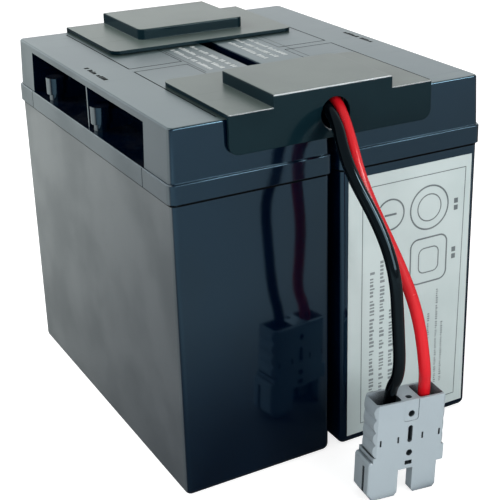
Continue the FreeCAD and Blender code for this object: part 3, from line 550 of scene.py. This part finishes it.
# %% Flat shapes
def bar(u0, u1, v0, v1):
    """A rectangle as four corners."""
    return [(u0, v0), (u1, v0), (u1, v1), (u0, v1)]


def outline(corners, width):
    """A closed line of even width through corners that turn anticlockwise: one quad for each side."""
    quads = []
    count = len(corners)
    ring = []
    for i, here in enumerate(corners):
        here = Vector(here)
        before = (here - Vector(corners[i - 1])).normalized()
        after = (Vector(corners[(i + 1) % count]) - here).normalized()
        inward = (Vector((-before.y, before.x)) + Vector((-after.y, after.x))).normalized()
        reach = width / 2 / max(0.3, inward.dot(Vector((-before.y, before.x))))
        ring.append((here - inward * reach, here + inward * reach))
    for (out_a, in_a), (out_b, in_b) in zip(ring, ring[1:] + ring[:1]):
        quads.append([tuple(out_a), tuple(out_b), tuple(in_b), tuple(in_a)])
    return quads


def round_frame(u0, u1, v0, v1, radius, steps=6):
    """Corners of a rectangle with round corners, anticlockwise."""
    corners = []
    for cu, cv, start in ((u1 - radius, v0 + radius, -90), (u1 - radius, v1 - radius, 0),
                          (u0 + radius, v1 - radius, 90), (u0 + radius, v0 + radius, 180)):
        for step in range(steps + 1):
            angle = math.radians(start + 90 * step / steps)
            corners.append((cu + radius * math.cos(angle), cv + radius * math.sin(angle)))
    return corners


def circle(cu, cv, radius, steps=48):
    """Corners of a circle, anticlockwise."""
    angles = [2 * math.pi * i / steps for i in range(steps)]
    return [(cu + radius * math.cos(angle), cv + radius * math.sin(angle)) for angle in angles]


print("corners of a circle", len(circle(0.0, 0.0, 1.0)))

# %% [markdown]
# **Words.** A printed word is a few letters and then a wider space. A seeded random generator picks how
# many letters a word has, and how tall and long each block is, so every run gives the same rows.

# %% Rows of words
def word_row(rng, across, start, end, height, block, gap):
    """Blocks in word-like groups. The row runs along v, and across is its place in u."""
    blocks = []
    v = start
    while v < end - block:
        for _ in range(rng.randint(2, 8)):
            if v > end - block:
                break
            tall = height * rng.choice((0.72, 1.0, 1.0))
            long = block * rng.choice((0.7, 1.0, 1.15))
            blocks.append(bar(across - height / 2, across - height / 2 + tall, v, v + long))
            v += long + gap
        v += block
    return blocks


print("helper", word_row.__name__)

# %% [markdown]
# **One print.** A function puts the flat corners on the real surface: on a leaning wall or on a level
# lid. The shapes of one ink become one mesh, which keeps the number of pieces low.

# %% Print builder
INK_LIFT = 0.03


def make_print(name, shapes, place, ink):
    """One mesh of flat shapes. place turns (u, v, lift) in millimetres into a point in metres."""
    mesh = bmesh.new()
    for shape in shapes:
        mesh.faces.new([mesh.verts.new(place(u, v, INK_LIFT)) for u, v in shape])
    data = bpy.data.meshes.new(name)
    mesh.to_mesh(data)
    mesh.free()
    data.materials.append(ink)
    piece = bpy.data.objects.new(name, data)
    bpy.context.collection.objects.link(piece)
    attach(piece, "root")
    print(name, len(data.polygons), "shapes")


# %% [markdown]
# **Inks.** Ink is never solid: it soaks in or skips a little. Two tones of the same ink drift into each
# other, and the finish is that of the surface below.

# %% Inks
INK = {"rim": 0, "grain": (1800.0, 0.3, 0.05), "dust": 0.0}
grey_ink = plastic("label_ink", ((84, 94, 98), (104, 113, 116)), 0.5, scuffs=0.2, **INK)
soft_ink = plastic("label_soft_ink", ((104, 114, 118), (122, 131, 134)), 0.5, scuffs=0.2, **INK)
pale_ink = plastic("lid_ink", ((186, 194, 194), (206, 212, 211)), 0.45, scuffs=0.2, **INK)
# This dark ink serves the moulded marks, and also painted shade along the vent seams and painted shadow
# under the skirts.
dark_mark_and_shade = plastic("moulded_mark_and_shade", ((4, 6, 8), (9, 12, 14)), 0.8, scuffs=0.0, ior=1.15, **INK)
print("inks", [ink.name for ink in (grey_ink, soft_ink, pale_ink, dark_mark_and_shade)])

# %% [markdown]
# **The label.** Its wall leans by about one degree, so the plane is read from the label itself: the
# outermost points of its foot and of its top edge. A thin frame runs round the inside of the edge.
# Three rows of large print run up the left half, and fine print runs up the right.

# %% Label print
label_points = [vertex.co for vertex in frame["nodes"]["rating_label"].data.vertices]
label_foot, label_top = label_box[0][2], label_box[1][2]
foot_y = min(point.y for point in label_points if point.z < label_foot + MM)
top_y = min(point.y for point in label_points if point.z > label_top - MM)

LARGE_ROWS = ((12.8, 7.0, 82.0), (18.2, 7.0, 86.0), (23.4, 7.0, 60.0))     # across, start, end
FINE_ROWS = ((44.6, 14.0, 52.0), (49.2, 14.0, 64.0), (52.4, 14.0, 46.0))
LARGE_TYPE, FINE_TYPE = (2.5, 1.1, 0.7), (1.2, 0.6, 0.5)                   # height, block, gap
FRAME_CORNERS = [(7.3, 4.7), (61.2, 4.7), (63.0, 121.0), (7.3, 121.0)]
HAIRLINE, THIN_LINE, LINE = 0.4, 0.6, 0.8
SMALL_MARKS = ((57.0, 101.0), (57.0, 104.4), (56.6, 77.0), (56.6, 80.4))   # lower left corners
MARK_WIDTH, MARK_HEIGHT = 2.2, 2.4


def on_label(u, v, lift):
    """u and v are measured from the label's lower left corner."""
    z = label_foot + v * MM
    y = foot_y + (top_y - foot_y) * (z - label_foot) / (label_top - label_foot)
    return (label_box[0][0] + u * MM, y - lift * MM, z)


rng = random.Random(11)
words = []
for rows, type_size in ((LARGE_ROWS, LARGE_TYPE), (FINE_ROWS, FINE_TYPE)):
    for row in rows:
        words += word_row(rng, *row, *type_size)
make_print("label_words", words, on_label, soft_ink)
shapes = outline(FRAME_CORNERS, HAIRLINE)
shapes += outline(circle(22.0, 106.0, 7.2), LINE) + [bar(18.8, 25.2, 105.5, 106.5)]
shapes += outline(circle(43.2, 105.2, 10.4), LINE) + outline(circle(43.2, 105.2, 6.4), THIN_LINE)
shapes += outline(round_frame(33.4, 53.6, 68.4, 90.6, 4.0), LINE)
shapes += outline(round_frame(38.0, 49.0, 73.4, 85.6, 3.0), THIN_LINE)
shapes += [bar(u, u + MARK_WIDTH, v, v + MARK_HEIGHT) for u, v in SMALL_MARKS]
make_print("label_print", shapes, on_label, grey_ink)

# %% [markdown]
# ** The lids.** Pale print lies beside the gap on both lids, and a short row of small moulded marks sits
# by each outer edge. A fine line runs along each lid between the two. The gap round a vent cover has
# rounded lips, so it reads wider and darker than it is. A dark line on its outer side and its inner end
# gives that: painted shade of the lips.

# %% Lid print
PALE_ROWS = ((-20.2, -17.0, 28.0), (-15.0, -18.0, 29.0), (-9.2, -19.0, 29.0),   # across, start, end
             (10.4, -13.0, 28.0), (16.0, -13.0, 29.0), (21.4, -12.0, 26.0))
MARK_ROWS = ((-68.0, -9.0, 16.0), (70.0, -12.5, 15.0))
PALE_TYPE, MARK_TYPE = (2.3, 1.5, 0.8), (2.2, 1.9, 0.5)                         # height, block, gap
FINE_LINES, FINE_HALF, FINE_SPAN = (-24.6, 29.4), 0.12, (-20.0, 29.0)
SEAM_HALF = 0.25
VENT_COVERS = [name for name in frame["nodes"] if "vent_cover" in name]


def on_lid(u, v, lift):
    """u is x and v is y, in millimetres from the middle of the pair."""
    return (u * MM, v * MM, LID_TOP + lift * MM)


shapes = []
for row in PALE_ROWS:
    shapes += word_row(rng, *row, *PALE_TYPE)
make_print("lid_print", shapes, on_lid, pale_ink)
shapes = []
for row in MARK_ROWS:
    shapes += word_row(rng, *row, *MARK_TYPE)
for across in FINE_LINES:
    shapes.append(bar(across - FINE_HALF, across + FINE_HALF, *FINE_SPAN))
# Painted shade: a dark line along each vent cover's gap.
for name in VENT_COVERS:
    (left, front, _), (right, back, _) = ([v / MM for v in corner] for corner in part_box(name))
    outer, inner_end = max(left, right, key=abs), min(front, back, key=abs)
    shapes.append(bar(outer - SEAM_HALF, outer + SEAM_HALF, front, back))
    shapes.append(bar(left, right, inner_end - SEAM_HALF, inner_end + SEAM_HALF))
make_print("lid_marks_and_seam_shade", shapes, on_lid, dark_mark_and_shade)

# %% [markdown]
# ** The painted shadow under the skirt.** The lid's skirt is glued over the rim of the case, and the
# shade under its edge is painted as a dark line all the way round. It is a narrow upright ribbon that
# follows the case's rounded outline. The skirt hides its upper part from above.

# %% Painted shadow under the skirt
CASE_CORNER = 2.6
SHADOW_HEIGHT = 1.2


def make_skirt_shadow(battery):
    """A dark ribbon round one case, just under the skirt of its lid: painted shadow."""
    low, high = (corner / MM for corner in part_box(battery + "_case"))
    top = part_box(battery + "_lid")[0][2] / MM
    outline_points = round_frame(low[0], high[0], low[1], high[1], CASE_CORNER)
    mesh = bmesh.new()
    rings = [[mesh.verts.new((x * MM, y * MM, z * MM)) for x, y in outline_points]
             for z in (top - SHADOW_HEIGHT, top)]
    for i in range(len(outline_points)):
        j = (i + 1) % len(outline_points)
        mesh.faces.new((rings[0][i], rings[0][j], rings[1][j], rings[1][i]))
    data = bpy.data.meshes.new(battery + "_skirt_shadow")
    mesh.to_mesh(data)
    mesh.free()
    data.materials.append(dark_mark_and_shade)
    shadow_ribbon = bpy.data.objects.new(battery + "_skirt_shadow", data)
    bpy.context.collection.objects.link(shadow_ribbon)
    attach(shadow_ribbon, "root")
    print(shadow_ribbon.name, "%.1f mm wide" % (high[0] - low[0]))


for battery in ("left", "right"):
    make_skirt_shadow(battery)

# %% [markdown]
# ## Floor, background and light
# A white studio sweep. The floor is lit like anything else, so it keeps the soft shadow. Rays from the
# camera see it with some white added, which makes the background clean without more lamp light. In a
# mirror the floor's colour is painted: bright only in front of the object, and dark close to it and
# behind it, which is painted shade in the reflections on the walls.

# %% Floor
FLOOR_HALF, FLOOR_DROP = 3.0, 0.0002
# The near grey is painted shade that mirror images see close to the object.
PAPER_GREY, MIRROR_SHADE_GREY, FAR_GREY = ((grey, grey, grey, 1) for grey in (0.6, 0.17, 0.68))
MIRROR_RISE = (0.1, 0.26)       # how far in front of the middle a mirror sees the floor brighten
FLOOR_GLOW = 0.76


def seen_rays(tree):
    """The Light Path node, and a value that is 1 for rays that the camera sees directly."""
    rays = tree.add("ShaderNodeLightPath")
    seen = tree.math("MAXIMUM", rays.outputs["Is Camera Ray"], rays.outputs["Is Transmission Ray"])
    return rays, seen


floor_mesh = bpy.data.meshes.new("studio_floor")
corners = [(-FLOOR_HALF, -FLOOR_HALF, 0), (FLOOR_HALF, -FLOOR_HALF, 0),
           (FLOOR_HALF, FLOOR_HALF, 0), (-FLOOR_HALF, FLOOR_HALF, 0)]
floor_mesh.from_pydata(corners, [], [(0, 1, 2, 3)])
floor = bpy.data.objects.new("studio_floor", floor_mesh)
floor.location.z = -FLOOR_DROP
bpy.context.collection.objects.link(floor)

paper = bpy.data.materials.new("studio_paper")
paper.use_nodes = True
tree = Tree(paper.node_tree)
rays, seen = seen_rays(tree)
lit = paper.node_tree.nodes["Principled BSDF"]
forward = tree.add("ShaderNodeSeparateXYZ", Vector=tree.add("ShaderNodeTexCoord").outputs["Object"])
# Painted shade: mirror images see the floor darker close to the object.
ahead = tree.ramp(tree.math("MULTIPLY", forward.outputs["Y"], -1.0), *MIRROR_RISE)
mirrored = tree.mix(ahead, MIRROR_SHADE_GREY, FAR_GREY)
tree.feed(lit.inputs["Base Color"], tree.mix(rays.outputs["Is Glossy Ray"], PAPER_GREY, mirrored))
lit.inputs["Roughness"].default_value = 0.9
lit.inputs["Specular IOR Level"].default_value = 0.0
glow = tree.add("ShaderNodeEmission", Color=(1, 1, 1, 1))
tree.feed(glow.inputs["Strength"], tree.math("MULTIPLY", seen, FLOOR_GLOW))
both = tree.add("ShaderNodeAddShader", in0=lit.outputs[0], in1=glow.outputs[0])
tree.feed(paper.node_tree.nodes["Material Output"].inputs["Surface"], both.outputs[0])
floor_mesh.materials.append(paper)
print("floor", floor.name)

# %% [markdown]
# **The room.** The world is a white room: a weak light by itself, but white where it is seen. In a
# mirror it is white on the far side, behind the object and to the right, and dimmer on the near side,
# where a studio is dark. That gives the lids their pale sheen and leaves the front walls deep.

# %% World
ROOM_LIGHT = 0.42
BRIGHT_WALL = (0.6, 0.8, 0.0)   # the direction of its middle: behind the object and to the right
WALL_EDGE = (0.3, 0.9)
WALL_LIGHT, DIM_WALL = 0.65, 0.35
world = bpy.data.worlds.new("studio_world")
bpy.context.scene.world = world
world.use_nodes = True
tree = Tree(world.node_tree)
rays, seen = seen_rays(tree)
direction = tree.add("ShaderNodeTexCoord").outputs["Generated"]
towards = tree.add("ShaderNodeVectorMath", {"operation": "DOT_PRODUCT"}, in0=direction,
                   in1=BRIGHT_WALL)
bright = tree.ramp(towards.outputs["Value"], *WALL_EDGE)
wall = tree.math("MULTIPLY_ADD", bright, WALL_LIGHT, DIM_WALL)
mirrored = tree.math("MULTIPLY", rays.outputs["Is Glossy Ray"], wall)
strength = tree.math("MAXIMUM", tree.math("MAXIMUM", seen, mirrored), ROOM_LIGHT)
background = world.node_tree.nodes["Background"]
background.inputs["Color"].default_value = (1, 1, 1, 1)
tree.feed(background.inputs["Strength"], strength)
print("world", world.name)

# %% [markdown]
# **The lamps.** Four soft lamps: one behind, which glances along the lids, two on the left, and one low
# in front. One small key lamp high in front draws the thin bright lines along rims and leads. It adds
# gloss only, and the left lamps add none, so that no mirror image of them lands on the caps.

# %% Lamps
MIDDLE = Vector((0.0, 0.0, 0.08))
LAMPS = (   # name, place, width, height, watts, adds diffuse light, adds gloss
    ("back_box", (0.8, 1.5, 0.9), 2.4, 1.3, 5.6, True, True),
    ("left_box", (-0.44, 0.44, 0.4), 0.35, 0.35, 4.0, True, False),
    ("side_box", (-0.5, -0.6, 0.3), 0.3, 0.3, 1.8, True, False),
    ("front_box", (0.35, -1.5, 0.6), 0.9, 0.7, 13.0, True, True),
    ("key_lamp", (0.65, -0.9, 0.78), 0.3, 0.3, 6.0, False, True),
)
for name, place, width, height, power, diffuse, gloss in LAMPS:
    data = bpy.data.lights.new(name, "AREA")
    data.shape = "RECTANGLE"
    data.size, data.size_y = width, height
    data.energy = power
    lamp = bpy.data.objects.new(name, data)
    bpy.context.collection.objects.link(lamp)
    lamp.location = place
    lamp.rotation_euler = (MIDDLE - Vector(place)).to_track_quat("-Z", "Y").to_euler()
    lamp.visible_diffuse, lamp.visible_glossy = diffuse, gloss
    print(name, "%.1f W" % power)

# %% [markdown]
# ## Finish
# The last call brings the view layer up to date.

# %% Finish
bpy.context.view_layer.update()
